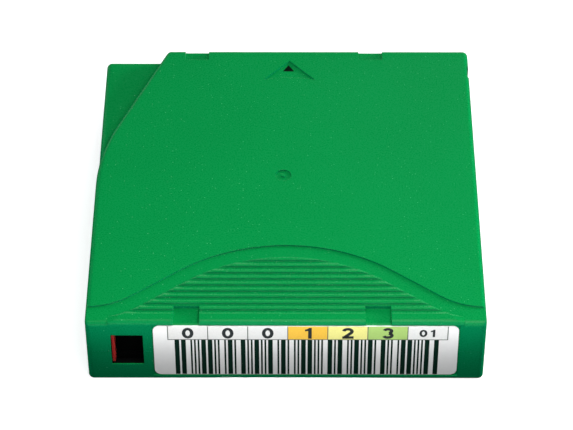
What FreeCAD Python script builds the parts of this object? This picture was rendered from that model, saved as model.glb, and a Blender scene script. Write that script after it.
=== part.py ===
import FreeCAD, Part
import Sketcher
import math
import os
import re

# Half-inch single-reel data tape cartridge, lying on its bottom face.
# Millimetres. Origin at the middle of the bottom, +Y is the way it goes into a
# drive, +Z is up. The label face is at -Y and the sliding door is at -X.

SIZES = {
    # case outside
    "case_width": 102.0,
    "case_length": 105.4,
    "case_height": 21.5,
    "split_height": 10.5,
    "corner_radius": 1.5,
    "top_round": 1.4,
    "base_round": 0.8,
    # case walls
    "side_wall": 2.0,
    "floor_wall": 1.5,
    "roof_wall": 2.0,
    "guide_roof_wall": 1.0,
    # insertion guide: the lowered corner beside the door
    "guide_drop": 4.4,
    "guide_end": 10.5,
    "guide_angle": 22.4,
    "guide_blend": 60.0,
    # thumb grip on the top
    "grip_side": 5.5,
    "grip_depth": 22.0,
    "grip_arc": 46.0,
    "grip_slope": 36.87,
    "grip_step": 0.4,
    "rib_inset": 3.95,
    "rib_edge": 0.8,
    "rib_end": 2.3,
    "rib_count": 10,
    "rib_pitch": 2.18,
    "rib_rise": 1.0,
    "rib_flat": 0.55,
    "rib_drop": 0.2,
    # arrow pocket and gate dimple
    "arrow_offset": 0.7,
    "arrow_half_width": 7.15,
    "arrow_point_gap": 4.7,
    "arrow_length": 8.05,
    "arrow_bow": 26.6,
    "arrow_depth": 0.4,
    "gate_offset_x": 0.8,
    "gate_offset_y": 1.25,
    "gate_outer": 2.1,
    "gate_stub": 0.5,
    "gate_depth": 0.35,
    # handling pockets
    "pocket_width": 6.6,
    "pocket_spacing": 48.8,
    "pocket_offset": 0.9,
    "front_pocket_length": 4.1,
    "front_pocket_depth": 1.25,
    "base_pocket_depth": 0.65,
    "rear_pocket_length": 5.9,
    "rear_pocket_depth": 1.25,
    "rear_pocket_round": 1.0,
    "side_notch_inset": 8.7,
    "side_notch_length": 4.4,
    "side_notch_depth": 0.5,
    "side_notch_drop": 6.0,
    # label
    "label_offset": 5.1,
    "label_width": 77.7,
    "label_drop": 1.55,
    "label_base": 1.75,
    "label_corner": 1.8,
    "label_thickness": 0.2,
    "label_recess": 0.3,
    "label_gap": 0.3,
    # write-protect window and tab
    "window_left": 6.4,
    "window_width": 8.2,
    "window_base": 5.7,
    "window_drop": 5.0,
    "tab_overlap": 1.2,
    "tab_cover": 0.9,
    "tab_thickness": 1.4,
    "tab_end_gap": 0.4,
    "nub_gap": 0.3,
    "nub_depth": 1.4,
    "rail_thickness": 0.8,
    "rail_overlap": 1.3,
    "slide_gap": 0.15,
    # door
    "door_opening_length": 17.0,
    "door_opening_front": 4.2,
    "door_opening_base": 2.4,
    "door_opening_drop": 0.8,
    "door_thickness": 1.0,
    "door_travel": 19.0,
    "door_overlap": 1.6,
    "door_seat_gap": 0.3,
    "door_arm_length": 34.5,
    "door_arm_base": 9.0,
    "door_arm_height": 4.0,
    "door_hook_height": 2.0,
    "door_hook_length": 1.4,
    "door_hook_reach": 2.3,
    "door_channel_wall": 0.95,
    "groove_count": 5,
    "groove_pitch": 1.5,
    "groove_width": 0.7,
    "groove_depth": 0.35,
    # reel
    "reel_seat_gap": 0.25,
    "reel_side_gap": 1.2,
    "reel_top_gap": 3.1,
    "flange_thickness": 0.9,
    "hub_radius": 22.0,
    "hub_wall": 1.6,
    "hub_floor": 1.4,
    "tape_side_gap": 0.1,
    "tape_edge_gap": 0.95,
    "tape_core_gap": 0.05,
    "drive_opening": 18.5,
    "drive_ring_inner": 14.4,
    "drive_ring_outer": 17.2,
    "drive_teeth": 60,
    "drive_tooth_height": 0.9,
    # clutch plate and release plate
    "clutch_outer": 13.6,
    "clutch_inner": 5.0,
    "clutch_thickness": 0.6,
    "leg_circle": 8.6,
    "leg_radius": 1.9,
    "leg_hole_gap": 0.35,
    "release_thickness": 1.0,
    "release_outer": 11.2,
    "release_bump": 2.6,
    "release_gap": 0.05,
    "hub_hole": 4.0,
    # brake
    "brake_teeth": 36,
    "brake_tooth_height": 1.1,
    "brake_side_gap": 1.6,
    "brake_tooth_length": 3.4,
    "brake_disc": 1.6,
    "brake_gap": 0.3,
    "brake_boss": 6.2,
    "brake_boss_height": 6.4,
    "brake_lift": 1.8,
    "tooth_tip": 0.5,
    "tooth_root": 1.1,
    "tooth_gap": 0.12,
    "key_length": 7.6,
    "key_width": 2.0,
    "key_gap": 0.08,
    "key_stand_off": 3.75,
    "spring_gap": 0.3,
    "brake_wire": 0.8,
    "brake_turns": 4,
    "door_wire": 0.4,
    "door_coil": 0.85,
    "door_turns": 12,
    "door_seat_inset": 10.7,
    "door_seat_thickness": 1.2,
    "door_seat_width": 2.3,
    "door_seat_drop": 2.6,
    # leader pin and its spring clip
    "pin_inset_x": 6.4,
    "pin_inset_y": 9.7,
    "pin_radius": 1.0,
    "pin_head_radius": 1.9,
    "pin_head_height": 0.5,
    "pin_end_gap": 0.05,
    "clip_thickness": 0.35,
    "clip_back": 3.6,
    "clip_reach": 0.6,
    "clip_gap": 0.03,
    "leader_thickness": 0.2,
    "leader_wrap_gap": 0.02,
    "leader_gap": 0.3,
    # screws
    "screw_inset_x": 5.4,
    "screw_inset_y": 7.5,
    "guide_screw_inset_x": 19.5,
    "guide_screw_inset_y": 4.1,
    "screw_shank": 1.0,
    "screw_head": 1.8,
    "screw_head_height": 1.2,
    "screw_socket": 0.7,
    "screw_socket_depth": 0.7,
    "screw_sink": 0.8,
    "screw_length": 11.5,
    "screw_hole_gap": 0.2,
    "screw_core_gap": 0.02,
    "boss_radius": 2.9,
    # cartridge memory board
    "memory_inset_x": 23.0,
    "memory_inset_y": 5.1,
    "memory_length": 12.0,
    "memory_height": 7.0,
    "memory_thickness": 0.8,
    "memory_chip": 2.4,
    "memory_chip_thickness": 0.6,
    "memory_post": 1.6,
    "memory_gap": 0.05,
}

doc = FreeCAD.newDocument("data_tape_cartridge")
sheet = doc.addObject("Spreadsheet::Sheet", "Sizes")
for row, (name, number) in enumerate(SIZES.items(), 1):
    sheet.set("A%d" % row, name)
    sheet.set("B%d" % row, str(number))
    sheet.setAlias("B%d" % row, name)
doc.recompute()

# Places worked out from the sheet. Each is the text of an expression.
LEFT, RIGHT = "(-case_width / 2)", "(case_width / 2)"
REAR, FRONT = "(-case_length / 2)", "(case_length / 2)"
INNER_X = "(case_width / 2 - side_wall)"
INNER_Y = "(case_length / 2 - side_wall)"
ROOF = "(case_height - roof_wall)"
GUIDE_TOP = "(case_height - guide_drop)"
GUIDE_ROOF = "(%s - guide_roof_wall)" % GUIDE_TOP
GRIP_LINE = "(grip_side - case_length / 2)"
GRIP_CENTRE = "(grip_side - case_length / 2 + grip_depth - grip_arc)"
GRIP_TOP = "(case_height - grip_step)"
RIB_FIRST = "(%s + grip_depth - rib_inset - rib_edge / 2)" % GRIP_LINE
RIB_END = "(rib_end - case_length / 2)"
REEL_BASE = "(floor_wall + reel_seat_gap)"
FLANGE_TOP = "(%s + flange_thickness)" % REEL_BASE
TAPE_BASE = "(%s + tape_side_gap)" % FLANGE_TOP
HUB_TOP = "(%s - reel_top_gap - flange_thickness)" % ROOF
TAPE_TOP = "(%s - tape_side_gap)" % HUB_TOP
FLANGE_OUTER = "(min(case_width; case_length) / 2 - side_wall - reel_side_gap)"
TAPE_OUTER = "(%s - tape_edge_gap)" % FLANGE_OUTER
HUB_DECK = "(%s + hub_floor)" % REEL_BASE
BRAKE_BASE = "(%s + brake_gap)" % HUB_DECK
DISC_BASE = "(%s + brake_tooth_height)" % BRAKE_BASE
DISC_TOP = "(%s + brake_disc)" % DISC_BASE
BOSS_TOP = "(%s + brake_boss_height)" % DISC_TOP
KEY_BASE = "(%s + key_stand_off)" % DISC_TOP
BRAKE_OUTER = "(hub_radius - hub_wall - brake_side_gap)"
BRAKE_INNER = "(%s - brake_tooth_length)" % BRAKE_OUTER
CLUTCH_BASE = "(%s - clutch_thickness)" % REEL_BASE
RELEASE_BASE = "(%s + release_gap)" % HUB_DECK
WINDOW_X = "(window_left - case_width / 2)"
WINDOW_TOP = "(case_height - window_drop)"
TAB_REAR = "(side_wall + slide_gap - case_length / 2)"
TAB_FRONT = "(%s + tab_thickness)" % TAB_REAR
DOOR_END = "(case_length / 2 - door_opening_front)"
DOOR_START = "(%s - door_opening_length)" % DOOR_END
DOOR_TAIL = "(%s - door_arm_length)" % DOOR_START
CHANNEL_X = "(door_channel_wall - case_width / 2)"
DOOR_OUTER = "(%s + slide_gap)" % CHANNEL_X
DOOR_INNER = "(%s + door_thickness)" % DOOR_OUTER
DOOR_OPENING_TOP = "(%s - door_opening_drop)" % GUIDE_ROOF
HOOK_TOP = "(%s - door_seat_gap)" % ROOF
SPRING_Z = "(%s - door_hook_height / 2)" % HOOK_TOP
PIN_BASE = "(floor_wall + pin_end_gap)"
PIN_TOP = "(%s - pin_end_gap)" % GUIDE_ROOF
LABEL_LEFT = "(label_offset - label_width / 2)"
LABEL_RIGHT = "(label_offset + label_width / 2)"
LABEL_TOP = "(case_height - label_drop)"
DOOR_SEAT = "(door_seat_inset - case_length / 2)"
PIN_X = "(pin_inset_x - case_width / 2)"
PIN_Y = "(case_length / 2 - pin_inset_y)"
MEMORY_X = "(case_width / 2 - memory_inset_x)"
MEMORY_Y = "(memory_inset_y - case_length / 2)"


def prefixed(text):
    """The expression with each size's name written as the sheet's own."""
    return re.sub(r"[a-z_]+[a-z]", lambda m: "Sizes." + m[0] if m[0] in SIZES else m[0], str(text))


def value(text):
    return float(sheet.evalExpression(prefixed(text)))


def bind(item, setting, text):
    item.setExpression(setting, prefixed(text))


# ---------------------------------------------------------------- sketches
CENTRE = 3  # a sketch's number for the centre of a circle


def moved(place, by):
    return "(%s + %s)" % (place, by)


def rect(x_low, x_high, y_low, y_high):
    return [(x_low, y_low), (x_high, y_low), (x_high, y_high), (x_low, y_high)]


def circle(x, y, radius):
    return ("circle", x, y, radius)


def new_body(label):
    body = doc.addObject("PartDesign::Body", label)
    body.Label = label
    return body


def base_plane(body, role):
    return next(item for item in body.Origin.OriginFeatures if item.Role == role)


def pin_point(sketch, shape, corner, x, y):
    """Fix one point of a sketch at x, y, both given as expressions."""
    for kind, axis, text in (("DistanceX", -2, x), ("DistanceY", -1, y)):
        if text == "0":
            sketch.addConstraint(Sketcher.Constraint("PointOnObject", shape, corner, axis))
            continue
        rule = Sketcher.Constraint(kind, -1, 1, shape, corner, value(text))
        bind(sketch, "Constraints[%d]" % sketch.addConstraint(rule), text)


def arc_between(start, end, radius, turn):
    """The short arc from start to end; turn is +1 for anticlockwise."""
    chord = end - start
    half = chord.Length / 2
    side = FreeCAD.Vector(-chord.y, chord.x, 0).normalize() * turn
    centre = start + chord / 2 + side * math.sqrt(radius * radius - half * half)
    first, last = (start, end) if turn > 0 else (end, start)
    angles = [math.atan2(p.y - centre.y, p.x - centre.x) for p in (first, last)]
    return Part.ArcOfCircle(Part.Circle(centre, FreeCAD.Vector(0, 0, 1), radius), *angles)


def draw(sketch, shape):
    """Add a circle, or a closed outline of corners joined by lines and arcs.

    A corner is (x, y), or (x, y, radius, turn) where an arc leads to the next.
    """
    if shape[0] == "circle":
        _, x, y, radius = shape
        centre = FreeCAD.Vector(value(x), value(y), 0)
        index = sketch.addGeometry(Part.Circle(centre, FreeCAD.Vector(0, 0, 1), value(radius)))
        pin_point(sketch, index, CENTRE, x, y)
        rule = sketch.addConstraint(Sketcher.Constraint("Radius", index, value(radius)))
        bind(sketch, "Constraints[%d]" % rule, radius)
        return
    points = [FreeCAD.Vector(value(c[0]), value(c[1]), 0) for c in shape]
    ends = []
    for i, corner in enumerate(shape):
        start, end = points[i], points[(i + 1) % len(shape)]
        if len(corner) == 2:
            ends.append((sketch.addGeometry(Part.LineSegment(start, end)), 1, 2))
            continue
        radius, turn = corner[2], corner[3]
        index = sketch.addGeometry(arc_between(start, end, value(radius), turn))
        ends.append((index, 1, 2) if turn > 0 else (index, 2, 1))
        rule = sketch.addConstraint(Sketcher.Constraint("Radius", index, value(radius)))
        bind(sketch, "Constraints[%d]" % rule, radius)
    for i, corner in enumerate(shape):
        shape_before, _, last = ends[i - 1]
        shape_here, first, _ = ends[i]
        rule = Sketcher.Constraint("Coincident", shape_before, last, shape_here, first)
        sketch.addConstraint(rule)
        pin_point(sketch, shape_here, first, corner[0], corner[1])


def new_sketch(body, name, role, offset, shapes):
    sketch = body.newObject("Sketcher::SketchObject", name)
    sketch.AttachmentSupport = [(base_plane(body, role), "")]
    sketch.MapMode = "FlatFace"
    bind(sketch, "AttachmentOffset.Base.z", offset)
    for shape in shapes:
        draw(sketch, shape)
    return sketch


# ---------------------------------------------------------------- features
def swept(body, kind, name, role, offset, length, shapes):
    sketch = new_sketch(body, name + "_outline", role, offset, shapes)
    feature = body.newObject("PartDesign::" + kind, name)
    feature.Profile = sketch
    bind(feature, "Length", length)
    return feature


def pad(body, name, z_low, height, *shapes):
    """Material upwards from z_low."""
    return swept(body, "Pad", name, "XY_Plane", z_low, height, shapes)


def pocket(body, name, z_high, depth, *shapes):
    """A cut downwards from z_high."""
    return swept(body, "Pocket", name, "XY_Plane", z_high, depth, shapes)


def pocket_rear(body, name, y_low, depth, *shapes):
    """A cut towards +Y from y_low; shapes are in x and z."""
    return swept(body, "Pocket", name, "XZ_Plane", "-(%s)" % y_low, depth, shapes)


def pad_rear(body, name, y_high, depth, *shapes):
    """Material towards -Y from y_high; shapes are in x and z."""
    return swept(body, "Pad", name, "XZ_Plane", "-(%s)" % y_high, depth, shapes)


def pad_side(body, name, x_low, length, *shapes):
    """Material towards +X from x_low; shapes are in y and z."""
    return swept(body, "Pad", name, "YZ_Plane", x_low, length, shapes)


def pocket_side(body, name, x_high, depth, *shapes):
    """A cut towards -X from x_high; shapes are in y and z."""
    return swept(body, "Pocket", name, "YZ_Plane", x_high, depth, shapes)


def revolve(body, name, *shapes):
    """Material turned about Z; shapes are in radius and z."""
    sketch = new_sketch(body, name + "_profile", "XZ_Plane", "0", shapes)
    feature = body.newObject("PartDesign::Revolution", name)
    feature.Profile = sketch
    feature.ReferenceAxis = (sketch, ["V_Axis"])
    feature.Angle = 360
    return feature


def ring_pattern(body, feature, name, count):
    pattern = body.newObject("PartDesign::PolarPattern", name)
    pattern.Originals = [feature]
    pattern.Axis = (base_plane(body, "Z_Axis"), [""])
    pattern.Angle = 360
    bind(pattern, "Occurrences", count)
    body.Tip = pattern
    return pattern


def row_pattern(body, feature, name, role, count, pitch, reverse=False):
    pattern = body.newObject("PartDesign::LinearPattern", name)
    pattern.Originals = [feature]
    pattern.Direction = (base_plane(body, role), [""])
    pattern.Reversed = reverse
    pattern.Mode = "Spacing"
    bind(pattern, "Offset", pitch)
    bind(pattern, "Occurrences", count)
    body.Tip = pattern
    return pattern


def round_edges(body, name, radius, wanted):
    """Fillet the edges of the body so far that pass the test."""
    doc.recompute()
    base = body.Tip
    edges = enumerate(base.Shape.Edges, 1)
    fillet = body.newObject("PartDesign::Fillet", name)
    fillet.Base = (base, ["Edge%d" % i for i, edge in edges if wanted(edge)])
    bind(fillet, "Radius", radius)


def near(a, b):
    return abs(a - b) < 0.01


# ---------------------------------------------------------------- case
def guide_wall(inset, front):
    """Corners of the insertion guide's sloping wall, from its blend with the
    case side to its front end, moved inwards by inset."""
    foot_x = moved(LEFT, inset)
    foot_y = "(guide_end - %s * tan(guide_angle / 2 * 1deg))" % inset
    blend = "(guide_blend - %s)" % inset
    run = "(%s * tan(guide_angle / 2 * 1deg))" % blend
    bend_x = "(%s + %s * sin(guide_angle * 1deg))" % (foot_x, run)
    bend_y = "(%s + %s * cos(guide_angle * 1deg))" % (foot_y, run)
    front_x = "(%s + (%s - %s) * tan(guide_angle * 1deg))" % (foot_x, front, foot_y)
    side_y = "(%s - %s)" % (foot_y, run)
    return foot_x, side_y, blend, bend_x, bend_y, front_x


def main_outline():
    """The case in plan without the insertion guide's corner."""
    foot_x, side_y, blend, bend_x, bend_y, front_x = guide_wall("0", FRONT)
    return [(LEFT, REAR), (RIGHT, REAR), (RIGHT, FRONT), (front_x, FRONT),
            (bend_x, bend_y, blend, 1), (foot_x, side_y)]


def main_room_outline():
    foot_x, side_y, blend, bend_x, bend_y, front_x = guide_wall("side_wall", INNER_Y)
    return [("-" + INNER_X, "-" + INNER_Y), (INNER_X, "-" + INNER_Y), (INNER_X, INNER_Y),
            (front_x, INNER_Y), (bend_x, bend_y, blend, 1), (foot_x, side_y)]


def grip_curve(inset):
    """Right half of the bell-shaped edge of the grip, moved inwards by inset:
    a wide arc over the middle, a straight flank, and an arc out to the side."""
    lean_x, lean_y = "sin(grip_slope * 1deg)", "cos(grip_slope * 1deg)"
    arc = "(grip_arc - %s)" % inset
    flank = "(%s * %s)" % (arc, lean_x), "(%s + %s * %s)" % (GRIP_CENTRE, arc, lean_y)
    fall = "(grip_depth - grip_arc * (1 - %s))" % lean_y
    reach = "(case_width / 2 - grip_arc * %s)" % lean_x
    slope = "tan(grip_slope * 1deg)"
    blend = "((%s * %s - %s) / (%s * %s - 1 + %s))" % (reach, slope, fall, lean_x, slope, lean_y)
    tail_arc = "(%s + %s)" % (blend, inset)
    tail_centre = "(%s + %s)" % (GRIP_LINE, blend)
    tail = ("(case_width / 2 - %s * %s)" % (tail_arc, lean_x),
            "(%s - %s * %s)" % (tail_centre, tail_arc, lean_y))
    return arc, flank, tail_arc, tail_centre, tail


def bell_outline(inset, end_x, end_y, *base):
    """The grip curve from one end to the other, closed through base."""
    arc, flank, tail_arc, _, tail = grip_curve(inset)
    return [*base, (end_x, end_y, tail_arc, -1), tail, (*flank, arc, 1),
            ("-" + flank[0], flank[1]), ("-" + tail[0], tail[1], tail_arc, -1),
            ("-" + end_x, end_y)]


def rib_outline(inset):
    """The rib field in plan: the grip curve moved inwards, closed at the rear."""
    _, _, tail_arc, tail_centre, _ = grip_curve(inset)
    end_x = "(case_width / 2 - sqrt(%s ^ 2 - (%s - %s) ^ 2))" % (tail_arc, tail_centre, RIB_END)
    return bell_outline(inset, end_x, RIB_END, ("-" + end_x, REAR), (end_x, REAR))


def make_rib_block():
    """The ribs: a raised field with sloping edges, cut across by valleys."""
    body = new_body("rib_block")
    foot, crest = rib_outline("rib_inset"), rib_outline("(rib_inset + rib_edge)")
    pad(body, "root", "(%s - top_round)" % GRIP_TOP, "top_round", foot)
    field = body.newObject("PartDesign::AdditiveLoft", "field")
    field.Profile = new_sketch(body, "field_foot", "XY_Plane", GRIP_TOP, [foot])
    field.Sections = [new_sketch(body, "field_crest", "XY_Plane", "case_height", [crest])]
    field.Ruled = True
    body.Tip = field
    heel = "(%s - rib_rise / 2 - rib_flat)" % RIB_FIRST
    next_foot = "(%s - rib_pitch + rib_rise / 2)" % RIB_FIRST
    valley = pocket_side(body, "valley", RIGHT, "case_width",
                         [(heel, "case_height"), ("(%s - rib_drop)" % heel, GRIP_TOP),
                          (next_foot, GRIP_TOP), ("(%s - rib_rise)" % next_foot, "case_height")])
    row_pattern(body, valley, "valley_row", "Y_Axis", "(rib_count - 1)", "rib_pitch", reverse=True)
    round_rear_edge(body, "rib_rear_round", "case_height", "top_round", RIGHT, "case_width")
    return body


def case_block(label, z_low, z_high, outline):
    """A solid block of the case with its upright corners rounded."""
    body = new_body(label)
    pad(body, "block", z_low, "%s - %s" % (z_high, z_low), outline)

    def corner(edge):
        a, b = (v.Point for v in edge.Vertexes)
        upright = near(a.x, b.x) and near(a.y, b.y)
        return upright and near(abs(a.y), value(FRONT))

    round_edges(body, "corner_round", "corner_radius", corner)
    return body


def round_level(body, name, radius, z):
    """Round every edge of the block that lies at height z."""
    height = value(z)
    round_edges(body, name, radius, lambda edge: all(near(v.Z, height) for v in edge.Vertexes))


def cut_label_and_window(body):
    gap = "label_gap"
    pocket_rear(body, "label_recess", REAR, "label_recess",
                rect("(%s - %s)" % (LABEL_LEFT, gap), moved(LABEL_RIGHT, gap),
                     "(label_base - %s)" % gap, moved(LABEL_TOP, gap)))
    pocket_rear(body, "window", REAR, "side_wall",
                rect(WINDOW_X, "(%s + window_width)" % WINDOW_X, "window_base", WINDOW_TOP))


def cut_door_way(body, z_high, depth):
    """The channel that the door slides in and the hole in the case side."""
    channel_end = "(%s - door_travel - door_seat_gap)" % DOOR_TAIL
    pocket(body, "door_channel", z_high, depth,
           rect(CHANNEL_X, "-" + INNER_X, channel_end, INNER_Y))
    pocket_side(body, "door_opening", "(%s + side_wall)" % LEFT, "side_wall + 1",
                rect(DOOR_START, DOOR_END, "door_opening_base", DOOR_OPENING_TOP))


def screw_places():
    x, y = "(case_width / 2 - screw_inset_x)", "(case_length / 2 - screw_inset_y)"
    guide = "(guide_screw_inset_x - case_width / 2)", "(case_length / 2 - guide_screw_inset_y)"
    return [(x, y), (x, "-" + y), ("-" + x, "-" + y), guide]


def screw_circles(radius):
    return [circle(x, y, radius) for x, y in screw_places()]


def make_upper_shell():
    whole = rect(LEFT, RIGHT, REAR, FRONT)
    guide = case_block("guide_block", "split_height", GUIDE_TOP, whole)
    round_level(guide, "guide_round", "top_round", GUIDE_TOP)
    body = case_block("upper_shell", "split_height", "case_height", main_outline())
    round_level(body, "top_round", "top_round", "case_height")
    fuse(body, "insertion_guide", guide)
    pocket(body, "grip", "case_height", "grip_step",
           bell_outline("0", RIGHT, GRIP_LINE, (LEFT, REAR), (RIGHT, REAR)))
    round_rear_edge(body, "grip_rear_round", GRIP_TOP, "top_round", RIGHT, "case_width")
    fuse(body, "rib_field", make_rib_block())
    pocket(body, "guide_room", GUIDE_ROOF, "%s - split_height" % GUIDE_ROOF,
           rect("-" + INNER_X, INNER_X, "-" + INNER_Y, INNER_Y))
    pocket(body, "main_room", ROOF, "%s - %s" % (ROOF, GUIDE_ROOF), main_room_outline())
    cut_top_marks(body)
    cut_handling_pockets(body)
    add_brake_key(body)
    add_upper_posts(body)
    cut_label_and_window(body)
    cut_door_way(body, GUIDE_ROOF, "%s - split_height" % GUIDE_ROOF)
    cut_hook_channel(body)


def fuse(body, name, block):
    join = body.newObject("PartDesign::Boolean", name)
    join.setObjects([block])
    join.Type = "Fuse"


def round_rear_edge(body, name, level, radius, x_high, length):
    """Round the edge over the label face where the surface lies at level."""
    low, inner = "(%s - %s)" % (level, radius), moved(REAR, radius)
    above = moved(level, "grip_step")
    pocket_side(body, name, x_high, length,
                [(REAR, low, radius, -1), (inner, level), (inner, above), (REAR, above)])


def cut_hook_channel(body):
    """Room above the reel for the door's hook to slide back."""
    low, high = "(%s - door_travel - door_seat_gap)" % DOOR_TAIL, "(%s + door_hook_length)" % DOOR_TAIL
    top = moved(HOOK_TOP, "door_seat_gap / 2")
    pocket(body, "hook_channel", top, "(%s - %s)" % (top, GUIDE_ROOF),
           rect(CHANNEL_X, "-" + INNER_X, low, moved(high, "door_seat_gap")))


def cut_top_marks(body):
    """The insertion arrow's pocket and the moulding gate's dimple."""
    tip = "(%s - arrow_point_gap)" % FRONT
    base = "(%s - arrow_length)" % tip
    pocket(body, "arrow_pocket", "case_height", "arrow_depth",
           [("arrow_offset", tip),
            ("(arrow_offset - arrow_half_width)", base, "arrow_bow", -1),
            ("(arrow_offset + arrow_half_width)", base)])
    pocket(body, "gate_dimple", "case_height", "gate_depth",
           circle("-gate_offset_x", "gate_offset_y", "gate_outer"),
           circle("-gate_offset_x", "gate_offset_y", "gate_stub"))


def pocket_ends(side):
    middle = "(%s * pocket_spacing / 2 - pocket_offset)" % side
    return "(%s - pocket_width / 2)" % middle, "(%s + pocket_width / 2)" % middle


def front_pockets():
    low = "(%s - front_pocket_length)" % FRONT
    return [rect(*pocket_ends(side), low, moved(FRONT, "1")) for side in (-1, 1)]


def rear_pockets():
    high = "(%s + rear_pocket_length)" % REAR
    return [rect(*pocket_ends(side), moved(REAR, "-1"), high) for side in (-1, 1)]


def cut_handling_pockets(body):
    pocket(body, "front_pockets", "case_height", "front_pocket_depth", *front_pockets())
    pocket(body, "rear_pockets", "case_height", "rear_pocket_depth", *rear_pockets())
    floor = "(case_height - rear_pocket_depth)"
    for side, name in ((-1, "left_pocket_round"), (1, "right_pocket_round")):
        x_high = pocket_ends(side)[1]
        round_rear_edge(body, name, floor, "rear_pocket_round", x_high, "pocket_width")
    notch_y = "(%s - side_notch_inset)" % FRONT
    pocket_side(body, "side_notch", RIGHT, "side_notch_depth",
                rect("(%s - side_notch_length / 2)" % notch_y,
                     "(%s + side_notch_length / 2)" % notch_y,
                     "(case_height - side_notch_drop)", "case_height + 1"))


def add_brake_key(body):
    """The cross-shaped key under the roof that keeps the brake from turning."""
    long, wide = "(key_length / 2)", "(key_width / 2)"
    depth = "(%s - %s)" % (ROOF, KEY_BASE)
    pad(body, "key_across", KEY_BASE, depth, rect("-" + long, long, "-" + wide, wide))
    pad(body, "key_along", KEY_BASE, depth, rect("-" + wide, wide, "-" + long, long))


def add_upper_posts(body):
    pad(body, "screw_posts", "split_height", "%s - split_height" % ROOF,
        *screw_circles("boss_radius"))
    pocket(body, "screw_cores", "(screw_sink + screw_head_height + screw_length)",
           "(screw_sink + screw_head_height + screw_length - split_height)",
           *screw_circles("(screw_shank + screw_core_gap)"))
    pad(body, "door_spring_seat", "(%s - door_seat_drop)" % ROOF, "door_seat_drop",
        rect("-" + INNER_X, "(door_seat_width - %s)" % INNER_X,
             "(%s - door_seat_thickness)" % DOOR_SEAT, DOOR_SEAT))
    rail_base = "(%s + tab_overlap - rail_overlap)" % WINDOW_TOP
    add_tab_rail(body, rail_base, "(%s - %s)" % (ROOF, rail_base))


def add_tab_rail(body, z_low, height):
    """The rib behind the write-protect tab that keeps it at the wall."""
    low = moved(TAB_FRONT, "slide_gap")
    pad(body, "tab_rail", z_low, height,
        rect("-" + INNER_X, "(%s + window_width)" % WINDOW_X, low, moved(low, "rail_thickness")))


def make_lower_shell():
    body = case_block("lower_shell", "0", "split_height", rect(LEFT, RIGHT, REAR, FRONT))
    round_level(body, "base_round", "base_round", "0")
    pocket(body, "room", "split_height", "split_height - floor_wall",
           rect("-" + INNER_X, INNER_X, "-" + INNER_Y, INNER_Y))
    pad(body, "screw_posts", "floor_wall", "split_height - floor_wall",
        *screw_circles("boss_radius"))
    pocket(body, "screw_holes", "split_height", "split_height",
           *screw_circles("(screw_shank + screw_hole_gap)"))
    pocket(body, "screw_sinks", "(screw_sink + screw_head_height)",
           "(screw_sink + screw_head_height)", *screw_circles("(screw_head + screw_hole_gap)"))
    pocket(body, "drive_opening", "floor_wall", "floor_wall", circle("0", "0", "drive_opening"))
    add_tab_rail(body, "floor_wall", "(window_base - tab_overlap + rail_overlap - floor_wall)")
    add_memory_posts(body)
    cut_label_and_window(body)
    cut_door_way(body, "split_height", "split_height - floor_wall")
    pocket(body, "front_pockets", "base_pocket_depth", "base_pocket_depth", *front_pockets())


def memory_ends():
    near_end = "(%s - memory_length / 2)" % MEMORY_X
    far_end = "(%s + memory_length / 2)" % MEMORY_X
    return near_end, far_end


def add_memory_posts(body):
    near_end, far_end = memory_ends()
    half = "(memory_thickness / 2 + memory_gap)"
    low, high = "(%s - memory_post)" % MEMORY_Y, "(%s + memory_post)" % MEMORY_Y
    pad(body, "memory_posts", "floor_wall", "memory_height",
        rect("(%s - memory_post)" % near_end, moved(near_end, "memory_post / 2"), low, high),
        rect("(%s - memory_post / 2)" % far_end, moved(far_end, "memory_post"), low, high))
    pocket(body, "memory_slot", "floor_wall + memory_height", "memory_height",
           rect("(%s - memory_gap)" % near_end, moved(far_end, "memory_gap"),
                "(%s - %s)" % (MEMORY_Y, half), "(%s + %s)" % (MEMORY_Y, half)))


def make_label():
    body = new_body("barcode_label")
    pad_rear(body, "sheet", "(%s + label_recess)" % REAR, "label_thickness",
             rect(LABEL_LEFT, LABEL_RIGHT, "label_base", LABEL_TOP))

    def corner(edge):
        a, b = (v.Point for v in edge.Vertexes)
        return near(a.x, b.x) and near(a.z, b.z)

    round_edges(body, "label_corner", "label_corner", corner)


def make_write_protect_tab():
    body = new_body("write_protect_tab")
    low, high = "(window_base - tab_overlap)", "(%s + tab_overlap)" % WINDOW_TOP
    left, right = "(tab_end_gap - %s)" % INNER_X, "(%s + tab_cover)" % WINDOW_X
    pad(body, "plate", low, "%s - %s" % (high, low), rect(left, right, TAB_REAR, TAB_FRONT))
    pad(body, "nub", "(window_base + nub_gap)", "(%s - window_base - 2 * nub_gap)" % WINDOW_TOP,
        rect("(%s + slide_gap)" % WINDOW_X, right, "(%s - nub_depth)" % TAB_REAR, TAB_REAR))


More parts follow.
